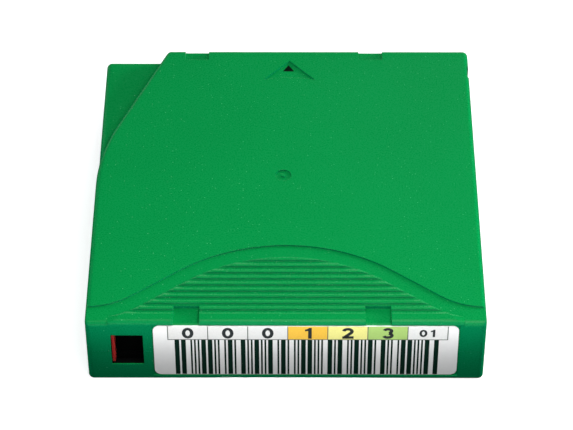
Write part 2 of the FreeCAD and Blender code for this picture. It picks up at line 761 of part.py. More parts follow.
def make_door():
    body = new_body("door")
    low = moved("floor_wall", "door_seat_gap")
    high = "(%s - door_seat_gap / 2)" % GUIDE_ROOF
    pad(body, "plate", low, "%s - %s" % (high, low),
        rect(DOOR_OUTER, DOOR_INNER, "(%s - door_overlap)" % DOOR_START,
             "(%s + door_overlap)" % DOOR_END))
    pad(body, "arm", "door_arm_base", "door_arm_height",
        rect(DOOR_OUTER, DOOR_INNER, DOOR_TAIL, DOOR_START))
    pad(body, "riser", "door_arm_base", "%s - door_arm_base" % HOOK_TOP,
        rect(DOOR_OUTER, DOOR_INNER, DOOR_TAIL, "(%s + door_hook_length)" % DOOR_TAIL))
    pad(body, "hook", "(%s - door_hook_height)" % HOOK_TOP, "door_hook_height",
        rect(DOOR_OUTER, "(%s + door_hook_reach)" % DOOR_INNER, DOOR_TAIL,
             "(%s + door_hook_length)" % DOOR_TAIL))
    groove_y = "(%s - groove_pitch - groove_width)" % DOOR_END
    groove = pocket_side(body, "groove", "(%s + groove_depth)" % DOOR_OUTER, "groove_depth",
                         rect(groove_y, "(%s + groove_width)" % groove_y,
                              "(door_opening_base + groove_pitch)",
                              "(%s - groove_pitch)" % DOOR_OPENING_TOP))
    row_pattern(body, groove, "groove_row", "Y_Axis", "groove_count", "groove_pitch", reverse=True)


# ---------------------------------------------------------------- reel
def face_tooth(z_root, z_tip, root, tip):
    """A tooth's end view in y and z, from its root to its tip."""
    return [("-%s / 2" % root, z_root), ("%s / 2" % root, z_root),
            ("%s / 2" % tip, z_tip), ("-%s / 2" % tip, z_tip)]


def leg_circles(radius):
    places = [("leg_circle * cos(%ddeg)" % turn, "leg_circle * sin(%ddeg)" % turn)
              for turn in (90, 210, 330)]
    return [circle("(%s)" % x, "(%s)" % y, radius) for x, y in places]


def make_reel_hub():
    """Hub and lower flange in one, drive teeth below and brake teeth inside."""
    body = new_body("reel_hub")
    bore = "(hub_radius - hub_wall)"
    revolve(body, "hub", [
        ("hub_hole", REEL_BASE), (FLANGE_OUTER, REEL_BASE), (FLANGE_OUTER, FLANGE_TOP),
        ("hub_radius", FLANGE_TOP), ("hub_radius", HUB_TOP), (bore, HUB_TOP),
        (bore, HUB_DECK), ("hub_hole", HUB_DECK)])
    pocket(body, "leg_holes", HUB_DECK, "hub_floor", *leg_circles("(leg_radius + leg_hole_gap)"))
    sunk = "(%s + hub_floor / 4)" % REEL_BASE
    drive = pad_side(body, "drive_tooth", "drive_ring_inner", "drive_ring_outer - drive_ring_inner",
                     face_tooth(sunk, "(%s - drive_tooth_height)" % REEL_BASE,
                                "tooth_root", "tooth_tip"))
    ring_pattern(body, drive, "drive_teeth_ring", "drive_teeth")
    brake = pad_side(body, "brake_tooth", BRAKE_INNER, "brake_tooth_length",
                     face_tooth("(%s - hub_floor / 4)" % HUB_DECK,
                                "(%s + brake_tooth_height)" % HUB_DECK, "tooth_root", "tooth_tip"))
    ring_pattern(body, brake, "brake_teeth_ring", "brake_teeth")


def make_upper_flange():
    body = new_body("reel_upper_flange")
    bore = "(hub_radius - hub_wall)"
    revolve(body, "flange", rect(bore, FLANGE_OUTER, HUB_TOP, "(%s + flange_thickness)" % HUB_TOP))


def make_clutch_plate():
    body = new_body("clutch_plate")
    pad(body, "washer", CLUTCH_BASE, "clutch_thickness", circle("0", "0", "clutch_outer"),
        circle("0", "0", "clutch_inner"), *leg_circles("(leg_radius + leg_hole_gap)"))


def make_tape_pack():
    body = new_body("tape_pack")
    revolve(body, "pack", rect("(hub_radius + tape_core_gap)", TAPE_OUTER, TAPE_BASE, TAPE_TOP))


def make_release_plate():
    """Three-legged plate that the drive pushes up to free the brake."""
    body = new_body("release_plate")
    pad(body, "plate", RELEASE_BASE, "release_thickness", circle("0", "0", "release_outer"))
    pad(body, "bump", RELEASE_BASE, "%s - %s - release_gap" % (DISC_BASE, RELEASE_BASE),
        circle("0", "0", "release_bump"))
    pad(body, "legs", moved(CLUTCH_BASE, "release_gap"),
        "%s - %s" % (RELEASE_BASE, CLUTCH_BASE), *leg_circles("leg_radius"))


def make_brake():
    body = new_body("reel_brake")
    pad(body, "disc", DISC_BASE, "brake_disc", circle("0", "0", BRAKE_OUTER))
    pad(body, "tooth_ring", BRAKE_BASE, "brake_tooth_height + brake_disc / 2",
        circle("0", "0", BRAKE_OUTER), circle("0", "0", BRAKE_INNER))
    pad(body, "boss", moved(DISC_BASE, "brake_disc / 2"),
        "brake_boss_height + brake_disc / 2", circle("0", "0", "brake_boss"))
    depth = "(%s - %s + brake_lift + brake_gap)" % (BOSS_TOP, KEY_BASE)
    long, wide = "(key_length / 2 + key_gap)", "(key_width / 2 + key_gap)"
    pocket(body, "socket_across", BOSS_TOP, depth, rect("-" + long, long, "-" + wide, wide))
    pocket(body, "socket_along", BOSS_TOP, depth, rect("-" + wide, wide, "-" + long, long))
    gap = pocket_side(body, "tooth_gap", moved(BRAKE_OUTER, "1"), "brake_tooth_length + 2",
                      face_tooth(moved(BRAKE_BASE, "-brake_gap"), DISC_BASE,
                                 "(tooth_root + 2 * tooth_gap)", "(tooth_tip + 2 * tooth_gap)"))
    ring_pattern(body, gap, "tooth_gap_ring", "brake_teeth")


# ---------------------------------------------------------------- springs and small parts
def coil_spring(label, mean_radius, length, turns, wire):
    """A coil along +Z from the origin, of square wire."""
    radius, height, size = value(mean_radius), value(length), value(wire)
    rise = height - size
    path = Part.makeHelix(rise / value(turns), rise, radius)
    path.translate(FreeCAD.Vector(0, 0, size / 2))
    half = size / 2
    corners = [FreeCAD.Vector(radius + dx * half, 0, half + dz * half)
               for dx, dz in ((-1, -1), (1, -1), (1, 1), (-1, 1), (-1, -1))]
    wire_end = Part.makePolygon(corners)
    spring = doc.addObject("Part::Feature", label)
    spring.Label = label
    spring.Shape = Part.Wire(path).makePipeShell([wire_end], True, True)
    return spring


def make_springs():
    brake = coil_spring("brake_spring", "(brake_boss + spring_gap + brake_wire / 2)",
                        "(%s - %s)" % (ROOF, DISC_TOP), "brake_turns", "brake_wire")
    brake.Placement = FreeCAD.Placement(FreeCAD.Vector(0, 0, value(DISC_TOP)), FreeCAD.Rotation())
    door = coil_spring("door_spring", "door_coil", "(%s - %s)" % (DOOR_TAIL, DOOR_SEAT),
                       "door_turns", "door_wire")
    reach = "(door_coil + door_wire / 2 + door_seat_gap / 2 - %s)" % INNER_X
    start = FreeCAD.Vector(value(reach), value(DOOR_TAIL), value(SPRING_Z))
    door.Placement = FreeCAD.Placement(start, FreeCAD.Rotation(FreeCAD.Vector(1, 0, 0), 90))


def make_leader_pin():
    body = new_body("leader_pin")
    low = moved(PIN_BASE, "pin_head_height")
    high = "(%s - pin_head_height)" % PIN_TOP
    revolve(body, "pin", [
        ("0", PIN_BASE), ("pin_head_radius", PIN_BASE), ("pin_head_radius", low), ("pin_radius", low),
        ("pin_radius", high), ("pin_head_radius", high), ("pin_head_radius", PIN_TOP), ("0", PIN_TOP)])
    bind(body, "Placement.Base.x", PIN_X)
    bind(body, "Placement.Base.y", PIN_Y)


def make_pin_clip():
    """Sheet-steel clip: a fork round each end of the pin, joined by a strap."""
    body = new_body("leader_pin_clip")
    inner = "(pin_head_radius + clip_gap)"
    outer = "(%s + clip_thickness)" % inner
    back = "(clip_back + clip_thickness)"
    fork = [("-clip_reach", "-" + outer), (back, "-" + outer), (back, outer), ("-clip_reach", outer),
            ("-clip_reach", inner), ("clip_back", inner), ("clip_back", "-" + inner),
            ("-clip_reach", "-" + inner)]
    pad(body, "lower_fork", PIN_BASE, "pin_head_height", fork)
    pad(body, "upper_fork", "(%s - pin_head_height)" % PIN_TOP, "pin_head_height", fork)
    pad(body, "strap", PIN_BASE, "%s - %s" % (PIN_TOP, PIN_BASE),
        rect("clip_back", back, "-" + outer, "0"))
    bind(body, "Placement.Base.x", PIN_X)
    bind(body, "Placement.Base.y", PIN_Y)


def make_leader_tape():
    """The tape's free end, from the pack's edge to the leader pin."""
    body = new_body("leader_tape")
    pack, pin = "(%s + leader_gap)" % TAPE_OUTER, "(pin_radius + leader_wrap_gap)"
    turn = ("(180deg + atan(%s / %s) - acos((%s - %s) / sqrt(%s ^ 2 + %s ^ 2)))"
            % (PIN_Y, PIN_X, pack, pin, PIN_X, PIN_Y))
    along, across = "cos(%s)" % turn, "sin(%s)" % turn

    def at_pack(radius):
        return "(%s * %s)" % (radius, along), "(%s * %s)" % (radius, across)

    def at_pin(radius):
        x, y = at_pack(radius)
        return "(%s + %s)" % (x, PIN_X), "(%s + %s)" % (y, PIN_Y)

    thick = "(%s + leader_thickness)"
    pad(body, "tape", TAPE_BASE, "%s - %s" % (TAPE_TOP, TAPE_BASE),
        [at_pack(pack), at_pack(thick % pack), at_pin(thick % pin), at_pin(pin)])


def make_memory_board():
    body = new_body("memory_board")
    near_end, far_end = memory_ends()
    half = "(memory_thickness / 2)"
    pad(body, "board", "floor_wall", "memory_height",
        rect(near_end, far_end, "(%s - %s)" % (MEMORY_Y, half), "(%s + %s)" % (MEMORY_Y, half)))
    chip = "(memory_chip / 2)"
    middle = "(floor_wall + memory_height / 2)"
    pad_rear(body, "chip", "(%s - %s)" % (MEMORY_Y, half), "memory_chip_thickness",
             rect("(%s - %s)" % (MEMORY_X, chip), "(%s + %s)" % (MEMORY_X, chip),
                  "(%s - %s)" % (middle, chip), "(%s + %s)" % (middle, chip)))


def make_screws():
    """The four case screws, alike, as one group."""
    head, shank, socket = value("screw_head"), value("screw_shank"), value("screw_socket")
    sink, shoulder = value("screw_sink"), value("screw_sink + screw_head_height")
    up = FreeCAD.Vector(0, 0, 1)
    screws = []
    for x, y in screw_places():
        place = [FreeCAD.Vector(value(x), value(y), z) for z in (sink, shoulder)]
        solid = Part.makeCylinder(head, shoulder - sink, place[0], up)
        solid = solid.fuse(Part.makeCylinder(shank, value("screw_length"), place[1], up))
        recess = Part.makeCylinder(socket, value("screw_socket_depth"), place[0], up)
        screws.append(solid.cut(recess))
    group = doc.addObject("Part::Feature", "case_screws")
    group.Label = "case_screws"
    group.Shape = Part.makeCompound(screws)


# ---------------------------------------------------------------- build and export
make_upper_shell()
make_lower_shell()
make_label()
make_write_protect_tab()
make_door()
make_reel_hub()
make_upper_flange()
make_clutch_plate()
make_tape_pack()
make_release_plate()
make_brake()
make_springs()
make_leader_pin()
make_pin_clip()
make_leader_tape()
make_memory_board()
make_screws()
doc.recompute()

for item in doc.Objects:
    if "Invalid" in item.State or "Error" in item.State:
        raise RuntimeError("%s failed to build" % item.Label)

FUSED_BLOCKS = ("guide_block", "rib_block")
os.makedirs("parts", exist_ok=True)
for item in doc.Objects:
    if item.TypeId in ("PartDesign::Body", "Part::Feature") and item.Label not in FUSED_BLOCKS:
        if item.Shape.isNull() or not item.Shape.isValid():
            raise RuntimeError("%s has no valid shape" % item.Label)
        item.Shape.exportStep("parts/%s.step" % item.Label)
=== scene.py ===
import math

import bmesh
import bpy
from mathutils import Matrix, Vector


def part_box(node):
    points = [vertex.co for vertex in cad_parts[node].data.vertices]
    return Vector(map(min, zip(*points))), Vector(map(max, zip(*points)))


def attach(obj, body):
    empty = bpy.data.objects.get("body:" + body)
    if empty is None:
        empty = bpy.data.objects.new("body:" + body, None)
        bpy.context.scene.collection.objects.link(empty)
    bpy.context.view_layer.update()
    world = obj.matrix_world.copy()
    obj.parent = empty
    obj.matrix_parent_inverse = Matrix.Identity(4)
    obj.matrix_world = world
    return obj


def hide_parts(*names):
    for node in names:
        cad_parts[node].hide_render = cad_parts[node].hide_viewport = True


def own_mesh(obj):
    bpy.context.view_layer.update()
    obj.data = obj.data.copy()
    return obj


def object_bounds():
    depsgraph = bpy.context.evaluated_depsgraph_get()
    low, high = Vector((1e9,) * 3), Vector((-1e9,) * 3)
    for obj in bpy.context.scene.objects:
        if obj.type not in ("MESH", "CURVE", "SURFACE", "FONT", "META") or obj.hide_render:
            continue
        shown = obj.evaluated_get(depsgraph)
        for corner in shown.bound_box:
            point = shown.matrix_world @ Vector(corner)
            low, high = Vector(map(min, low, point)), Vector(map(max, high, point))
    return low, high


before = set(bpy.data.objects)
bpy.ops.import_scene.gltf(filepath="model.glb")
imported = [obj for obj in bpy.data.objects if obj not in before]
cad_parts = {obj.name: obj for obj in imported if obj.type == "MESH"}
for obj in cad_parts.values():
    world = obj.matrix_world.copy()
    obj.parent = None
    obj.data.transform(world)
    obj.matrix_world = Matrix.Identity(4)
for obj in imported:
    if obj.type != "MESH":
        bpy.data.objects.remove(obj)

# Data tape cartridge: materials for the imported solids; the springs' coils, the
# print on the label and in the arrow pocket, and near-black sheets of painted shade
# in the window as pieces of their own; a floor, soft lights and the camera. Lengths are in
# metres.

MM = 0.001
CAD_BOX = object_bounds()
CASE_LEFT, CASE_FRONT = CAD_BOX[0][0], CAD_BOX[0][1]
CASE_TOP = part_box("upper_shell")[1].z

# where the camera stands and which way it faces; its lens and sensor are in millimetres
CAMERA_PLACE = Vector((0.0020038, -0.4860137, 0.4836848))
CAMERA_RIGHT = Vector((0.99999524, 0.00280449, -0.00128891))
CAMERA_UP = Vector((-0.00104115, 0.69962469, 0.71450977))
CAMERA_FORWARD = Vector((-0.00290559, 0.71450503, -0.69962427))
SENSOR_WIDTH = 36.0
FOCAL_LENGTH = 157.40356

# noise features a metre: the grain of moulded plastic and ink, and its slow waves
GRAIN = 2600
WAVES = 180
WAVE_DEPTH = 0.018 * MM
BEVEL_SAMPLES = 4

# sockets of a colour Mix node
MIX_FACTOR, MIX_FIRST, MIX_SECOND = 0, 6, 7
MIX_RESULT = 2


def add_to_scene(thing):
    bpy.context.scene.collection.objects.link(thing)
    return thing


# ---------------------------------------------------------------- materials
class Nodes:
    """A material's node tree, with short calls for the nodes used here."""

    def __init__(self, name):
        self.material = bpy.data.materials.new(name)
        self.material.use_nodes = True
        self.tree = self.material.node_tree
        self.shader = self.tree.nodes["Principled BSDF"]
        place = self.tree.nodes.new("ShaderNodeTexCoord")
        self.object = place.outputs["Object"]

    def link(self, source, node, socket):
        self.tree.links.new(source, node.inputs[socket])

    def noise(self, scale, detail=2.0, roughness=0.5, stretch=(1, 1, 1)):
        """Noise with about scale features a metre, stretched along the axes."""
        mapping = self.tree.nodes.new("ShaderNodeMapping")
        mapping.inputs["Scale"].default_value = stretch
        self.link(self.object, mapping, "Vector")
        node = self.tree.nodes.new("ShaderNodeTexNoise")
        node.inputs["Scale"].default_value = scale
        node.inputs["Detail"].default_value = detail
        node.inputs["Roughness"].default_value = roughness
        self.link(mapping.outputs["Vector"], node, "Vector")
        return node.outputs["Fac"]

    def flecks(self, scale, radius, share):
        """Small round spots in a share of the cells; radius in cell widths."""
        node = self.tree.nodes.new("ShaderNodeTexVoronoi")
        node.inputs["Scale"].default_value = scale
        self.link(self.object, node, "Vector")
        near = self.math("LESS_THAN", node.outputs["Distance"], radius)
        parts = self.tree.nodes.new("ShaderNodeSeparateColor")
        self.link(node.outputs["Color"], parts, "Color")
        chosen = self.math("LESS_THAN", parts.outputs["Red"], share)
        strength = self.math("MULTIPLY", chosen, parts.outputs["Green"])
        return self.math("MULTIPLY", near, strength)

    def facing_up(self):
        """About 0 on upright faces and 1 on flat ones; the mask of the case's painted shade."""
        place = self.tree.nodes.new("ShaderNodeTexCoord")
        parts = self.tree.nodes.new("ShaderNodeSeparateXYZ")
        self.link(place.outputs["Normal"], parts, 0)
        return self.math("ABSOLUTE", parts.outputs["Z"], 0.0)

    def shaded(self, colour, grain):
        """The colour, a little darker or lighter with the grain."""
        shade = self.ramp(grain, [(0.3, (0.95, 0.95, 0.95)), (0.7, (1.04, 1.04, 1.04))])
        return self.mix(1.0, colour, shade, "MULTIPLY")

    def math(self, operation, first, second):
        node = self.tree.nodes.new("ShaderNodeMath")
        node.operation = operation
        for socket, source in zip(node.inputs, (first, second)):
            if isinstance(source, bpy.types.NodeSocket):
                self.tree.links.new(source, socket)
            else:
                socket.default_value = source
        return node.outputs["Value"]

    def ramp(self, source, stops):
        """A colour ramp; stops are (position, colour)."""
        node = self.tree.nodes.new("ShaderNodeValToRGB")
        ramp = node.color_ramp
        while len(ramp.elements) < len(stops):
            ramp.elements.new(0.5)
        for element, (position, colour) in zip(ramp.elements, stops):
            element.position = position
            element.color = (*colour, 1.0)
        self.link(source, node, "Fac")
        return node.outputs["Color"]

    def mix(self, factor, first, second, mode="MIX"):
        node = self.tree.nodes.new("ShaderNodeMix")
        node.data_type = "RGBA"
        node.blend_type = mode
        for index, source in ((MIX_FACTOR, factor), (MIX_FIRST, first), (MIX_SECOND, second)):
            if isinstance(source, bpy.types.NodeSocket):
                self.link(source, node, index)
            elif index == MIX_FACTOR:
                node.inputs[index].default_value = source
            else:
                node.inputs[index].default_value = (*source, 1.0)
        return node.outputs[MIX_RESULT]

    def spread(self, source, low, high):
        """Map 0..1 to low..high."""
        node = self.tree.nodes.new("ShaderNodeMapRange")
        node.inputs["To Min"].default_value = low
        node.inputs["To Max"].default_value = high
        self.link(source, node, "Value")
        return node.outputs["Result"]

    def bump(self, *layers, edge=None):
        """Chained bumps of (height source, depth); edge rounds the edges' shading."""
        normal = None
        if edge:
            node = self.tree.nodes.new("ShaderNodeBevel")
            node.samples = BEVEL_SAMPLES
            node.inputs["Radius"].default_value = edge
            normal = node.outputs["Normal"]
        for source, depth in layers:
            node = self.tree.nodes.new("ShaderNodeBump")
            node.inputs["Distance"].default_value = depth
            self.link(source, node, "Height")
            if normal is not None:
                self.link(normal, node, "Normal")
            normal = node.outputs["Normal"]
        self.link(normal, self.shader, "Normal")

    def set(self, **values):
        for name, number in values.items():
            self.shader.inputs[name.replace("_", " ")].default_value = number

    def colour(self, source):
        self.link(source, self.shader, "Base Color")

    def rough(self, source, low, high):
        self.link(self.spread(source, low, high), self.shader, "Roughness")


def grained(name, dark, light, rough, specular=0.3):
    """Moulded plastic: slow colour drift, fine grain and a low, broken sheen."""
    mat = Nodes(name)
    fine = mat.noise(GRAIN, 2, 0.6)
    slow = mat.mix(mat.noise(38, 3), dark, light)
    mat.colour(mat.shaded(slow, fine))
    mat.rough(fine, *rough)
    mat.bump((mat.noise(WAVES, 2), WAVE_DEPTH), (fine, 0.03 * MM))
    mat.set(Specular_IOR_Level=specular)
    return mat.material


def green_plastic():
    """The case: grained green with pale flecks, and painted shade on its upright faces."""
    mat = Nodes("green_case_plastic")
    fine = mat.noise(GRAIN, 2, 0.6)
    flat = mat.mix(mat.noise(38, 3), (0.0004, 0.190, 0.040), (0.0007, 0.212, 0.046))
    # painted shade: upright faces take a darker, bluer copy of the green than flat ones
    upright = mat.mix(mat.noise(55, 3), (0.0004, 0.172, 0.060), (0.0007, 0.193, 0.069))
    body = mat.shaded(mat.mix(mat.facing_up(), upright, flat), fine)
    spots = mat.flecks(scale=1100, radius=0.13, share=0.4)
    mat.colour(mat.mix(spots, body, (0.09, 0.42, 0.19)))
    mat.rough(fine, 0.22, 0.34)
    mat.bump((mat.noise(WAVES, 2), WAVE_DEPTH), (fine, 0.01 * MM), edge=0.22 * MM)
    mat.set(Specular_IOR_Level=0.09)
    return mat.material


def metal(name, dark, light, rough, stretch):
    """Rolled or drawn steel with grain along one way."""
    mat = Nodes(name)
    streak = mat.noise(900, 3, 0.6, stretch)
    mat.colour(mat.mix(streak, dark, light))
    mat.rough(streak, *rough)
    mat.bump((streak, 0.006 * MM), (mat.noise(2400, 2), 0.004 * MM))
    mat.set(Metallic=1.0)
    return mat.material


def film(name, tone, rough):
    """Coated film or paper: almost even, with a faint mottle."""
    mat = Nodes(name)
    mottle = mat.noise(700, 3, 0.6)
    darker = tuple(c * 0.94 for c in tone)
    mat.colour(mat.mix(mottle, darker, tone))
    mat.rough(mottle, *rough)
    mat.bump((mat.noise(1500, 2), 0.006 * MM))
    return mat.material


def wound_tape():
    """The edge of the wound tape: fine rings round the hub, nearly black."""
    mat = Nodes("wound_tape_edge")
    split = mat.tree.nodes.new("ShaderNodeVectorMath")
    split.operation = "MULTIPLY"
    split.inputs[1].default_value = (1, 1, 0)
    mat.link(mat.object, split, 0)
    radius = mat.tree.nodes.new("ShaderNodeVectorMath")
    radius.operation = "LENGTH"
    mat.link(split.outputs["Vector"], radius, 0)
    rings = mat.tree.nodes.new("ShaderNodeTexNoise")
    rings.noise_dimensions = "1D"
    rings.inputs["Scale"].default_value = 2200
    rings.inputs["Detail"].default_value = 3
    mat.link(radius.outputs["Value"], rings, "W")
    turns = rings.outputs["Fac"]
    mat.colour(mat.mix(turns, (0.012, 0.009, 0.008), (0.05, 0.04, 0.036)))
    mat.rough(turns, 0.22, 0.42)
    mat.bump((turns, 0.01 * MM))
    mat.set(Specular_IOR_Level=0.6)
    return mat.material


def clear_plastic():
    """The clear upper flange: see-through with a faint smoke and light scuffs."""
    mat = Nodes("clear_flange")
    haze = mat.noise(120, 3)
    mat.colour(mat.mix(haze, (0.72, 0.75, 0.76), (0.86, 0.88, 0.88)))
    mat.rough(mat.noise(900, 2), 0.08, 0.22)
    mat.bump((haze, 0.01 * MM))
    mat.set(Transmission_Weight=0.75, IOR=1.5)
    return mat.material


def circuit_board():
    """Lacquered board with a faint weave."""
    mat = Nodes("circuit_board")
    weave = mat.noise(1600, 2, 0.5, (1, 1, 0.4))
    mat.colour(mat.mix(weave, (0.006, 0.06, 0.03), (0.015, 0.13, 0.06)))
    mat.rough(weave, 0.3, 0.5)
    mat.bump((weave, 0.01 * MM))
    return mat.material


def ink(name, tone):
    """Printed ink: a faint mottle and a low, broken sheen."""
    mat = Nodes(name)
    fine = mat.noise(GRAIN, 2)
    darker = tuple(c * 0.85 for c in tone)
    mat.colour(mat.mix(fine, darker, tone))
    mat.rough(fine, 0.42, 0.6)
    mat.bump((fine, 0.004 * MM))
    mat.set(Specular_IOR_Level=0.1)
    return mat.material


GREEN = green_plastic()
BLACK = grained("black_plastic", (0.010, 0.010, 0.011), (0.022, 0.022, 0.023), (0.35, 0.5))
# near black, for the sheets of painted shade inside the write-protect window
SHADE = grained("window_painted_shade", (0.001, 0.0012, 0.0012), (0.002, 0.0025, 0.0024),
                (0.5, 0.7), specular=0.05)
RED = grained("red_tab_plastic", (0.30, 0.018, 0.016), (0.42, 0.03, 0.026), (0.32, 0.45))
WHITE = grained("white_plate_plastic", (0.66, 0.66, 0.63), (0.76, 0.76, 0.73), (0.35, 0.5))
GREY = grained("grey_hub_plastic", (0.42, 0.43, 0.43), (0.52, 0.53, 0.53), (0.35, 0.5))
PLATE = metal("rolled_plate_steel", (0.42, 0.42, 0.42), (0.66, 0.66, 0.65), (0.22, 0.4),
              (1, 0.12, 1))
WIRE = metal("drawn_wire_steel", (0.32, 0.32, 0.33), (0.55, 0.55, 0.55), (0.25, 0.4),
             (1, 1, 0.3))
PAPER = film("label_film", (0.93, 0.94, 0.94), (0.3, 0.42))
LEADER = film("leader_tape_film", (0.03, 0.026, 0.024), (0.25, 0.35))

NODE_MATERIALS = {
    "upper_shell": GREEN, "lower_shell": GREEN, "barcode_label": PAPER, "write_protect_tab": RED,
    "door": BLACK, "door_spring": WIRE, "reel_hub": GREY, "reel_upper_flange": clear_plastic(),
    "clutch_plate": PLATE, "tape_pack": wound_tape(), "leader_tape": LEADER,
    "release_plate": WHITE, "reel_brake": BLACK, "brake_spring": WIRE, "leader_pin": PLATE,
    "leader_pin_clip": WIRE, "memory_board": circuit_board(), "case_screws": PLATE,
}
for node_name, surface in NODE_MATERIALS.items():
    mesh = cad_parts[node_name].data
    mesh.materials.clear()
    mesh.materials.append(surface)


def make_spring(node):
    """A copy of the spring's coil, fixed to the case, in place of the imported part."""
    coil = add_to_scene(
        bpy.data.objects.new(node + "_coil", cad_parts[node].data.copy()))
    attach(coil, "case")
    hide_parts(node)
    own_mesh(coil)


make_spring("door_spring")
make_spring("brake_spring")


# ---------------------------------------------------------------- printing
def flat_pieces(name, outlines, materials, thickness, to_world):
    """One piece of thin printed shapes; each outline is (points, material index)."""
    bm = bmesh.new()
    for points, index in outlines:
        base = [bm.verts.new(to_world(u, v, 0.0)) for u, v in points]
        top = [bm.verts.new(to_world(u, v, thickness)) for u, v in points]
        faces = [bm.faces.new(top), bm.faces.new(base[::-1])]
        count = len(points)
        for i in range(count):
            j = (i + 1) % count
            faces.append(bm.faces.new((base[i], base[j], top[j], top[i])))
        for face in faces:
            face.material_index = index
    bmesh.ops.recalc_face_normals(bm, faces=bm.faces)
    mesh = bpy.data.meshes.new(name)
    bm.to_mesh(mesh)
    bm.free()
    for material in materials:
        mesh.materials.append(material)
    return add_to_scene(bpy.data.objects.new(name, mesh))


def rectangle(left, right, low, high):
    return [(left, low), (right, low), (right, high), (left, high)]


LABEL_LOW, LABEL_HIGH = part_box("barcode_label")
LABEL_LEFT, LABEL_BASE, LABEL_TOP = LABEL_LOW.x, LABEL_LOW.z, LABEL_HIGH.z
LABEL_FACE = LABEL_LOW.y

# how proud one layer of ink stands; lines lie on cells, and numbers on both
INK = 0.015 * MM

# the row of cells along the label's top edge
CELL_MARGIN = 3.75 * MM
CELL_DROP = 0.15 * MM
CELL_HEIGHT = 5.0 * MM
CELL_LINE = 0.22 * MM
CELL_PITCH = 10.17 * MM
CELL_TOP = LABEL_TOP - CELL_DROP
CELL_BASE = CELL_TOP - CELL_HEIGHT
CELLS_LEFT = LABEL_LEFT + CELL_MARGIN

WHITE_INK = ink("white_cell_ink", (0.82, 0.83, 0.82))
ORANGE_INK = ink("orange_cell_ink", (0.92, 0.56, 0.075))
YELLOW_INK = ink("yellow_cell_ink", (0.87, 0.84, 0.29))
LIME_INK = ink("lime_cell_ink", (0.42, 0.64, 0.19))
DARK_INK = ink("dark_green_ink", (0.004, 0.022, 0.014))
ARROW_INK = ink("black_arrow_ink", (0.001, 0.005, 0.003))
LINE_INK = ink("grey_line_ink", (0.10, 0.13, 0.11))
DIGIT_INK = ink("grey_digit_ink", (0.03, 0.036, 0.038))
CELL_INKS = [WHITE_INK, WHITE_INK, WHITE_INK, ORANGE_INK, YELLOW_INK, LIME_INK, WHITE_INK]
CELL_COUNT = len(CELL_INKS)


def on_label(x, z, proud):
    """A point in front of the label's face."""
    return Vector((x, LABEL_FACE - proud, z))


def cell_left(index):
    return CELLS_LEFT + index * CELL_PITCH


def make_cells():
    """The white and coloured ground of the cells."""
    order = [WHITE_INK, ORANGE_INK, YELLOW_INK, LIME_INK]
    outlines = []
    for i, tone in enumerate(CELL_INKS):
        corners = rectangle(cell_left(i), cell_left(i + 1), CELL_BASE, CELL_TOP)
        outlines.append((corners, order.index(tone)))
    return flat_pieces("label_cells", outlines, order, INK, on_label)


def make_cell_lines():
    """The lines between the cells and under each of them."""
    half = CELL_LINE / 2
    outlines = []
    for i in range(CELL_COUNT + 1):
        x = cell_left(i)
        outlines.append((rectangle(x - half, x + half, CELL_BASE, CELL_TOP), 0))
    for i in range(CELL_COUNT):
        span = cell_left(i) + half, cell_left(i + 1) - half
        outlines.append((rectangle(*span, CELL_BASE, CELL_BASE + CELL_LINE), 0))
    return flat_pieces("label_cell_lines", outlines, [LINE_INK], 2 * INK, on_label)


# the row of bars under the cells; WIDE is in widths of a narrow bar
BARS_MARGIN = 5.4 * MM
BARS_LIFT = 0.12 * MM
BARS_LEFT = LABEL_LEFT + BARS_MARGIN
BARS_WIDTH = 67.35 * MM
BARS_BASE = LABEL_BASE + BARS_LIFT
BARS_TOP = CELL_BASE
CHARACTERS = 10
WIDE = 2.6
BARS_A_CHARACTER = 5


def bar_widths(index):
    """Bar and space widths of one character: two wide bars and one wide space."""
    first = index % BARS_A_CHARACTER
    second = (first + 1 + (index * 3) % (BARS_A_CHARACTER - 1)) % BARS_A_CHARACTER
    wide_space = (index * 2 + 1) % (BARS_A_CHARACTER - 1)
    bars = [WIDE if i in (first, second) else 1.0 for i in range(BARS_A_CHARACTER)]
    spaces = [WIDE if i == wide_space else 1.0 for i in range(BARS_A_CHARACTER - 1)]
    return bars, spaces + [1.0]


def make_bars():
    """A row of bars of two widths, which spells nothing."""
    total = CHARACTERS * (2 * BARS_A_CHARACTER + 3 * (WIDE - 1)) - 1
    unit = BARS_WIDTH / total
    outlines = []
    x = BARS_LEFT
    for index in range(CHARACTERS):
        for bar, space in zip(*bar_widths(index)):
            outlines.append((rectangle(x, x + bar * unit, BARS_BASE, BARS_TOP), 0))
            x += (bar + space) * unit
    return flat_pieces("label_bars", outlines, [DARK_INK], INK, on_label)


# the numbers in the cells; stroke and pitch are in heights of a digit
DIGIT_HEIGHT = 4.0 * MM
SMALL_DIGIT_HEIGHT = 2.7 * MM
DIGIT_STROKE = 0.225
DIGIT_PITCH = 0.86
DIGITS = ["0", "0", "0", "1", "2", "3", "01"]


def arc(middle, radii, start, end, steps=16):
    """Points on an ellipse's arc, in degrees."""
    turns = [math.radians(start + (end - start) * i / steps) for i in range(steps + 1)]
    return [(middle[0] + radii[0] * math.cos(a), middle[1] + radii[1] * math.sin(a))
            for a in turns]


def band(path, closed=False):
    """Four-sided pieces of a stroke of even width along a path."""
    count = len(path)
    sides = []
    for i in range(count):
        before = path[(i - 1) % count] if closed or i else path[i]
        after = path[(i + 1) % count] if closed or i < count - 1 else path[i]
        along = (Vector(after) - Vector(before)).normalized()
        offset = Vector((-along.y, along.x)) * DIGIT_STROKE / 2
        sides.append((Vector(path[i]) + offset, Vector(path[i]) - offset))
    last = count if closed else count - 1
    pieces = []
    for i in range(last):
        (left, right), (next_left, next_right) = sides[i], sides[(i + 1) % count]
        pieces.append([left, right, next_right, next_left])
    return pieces


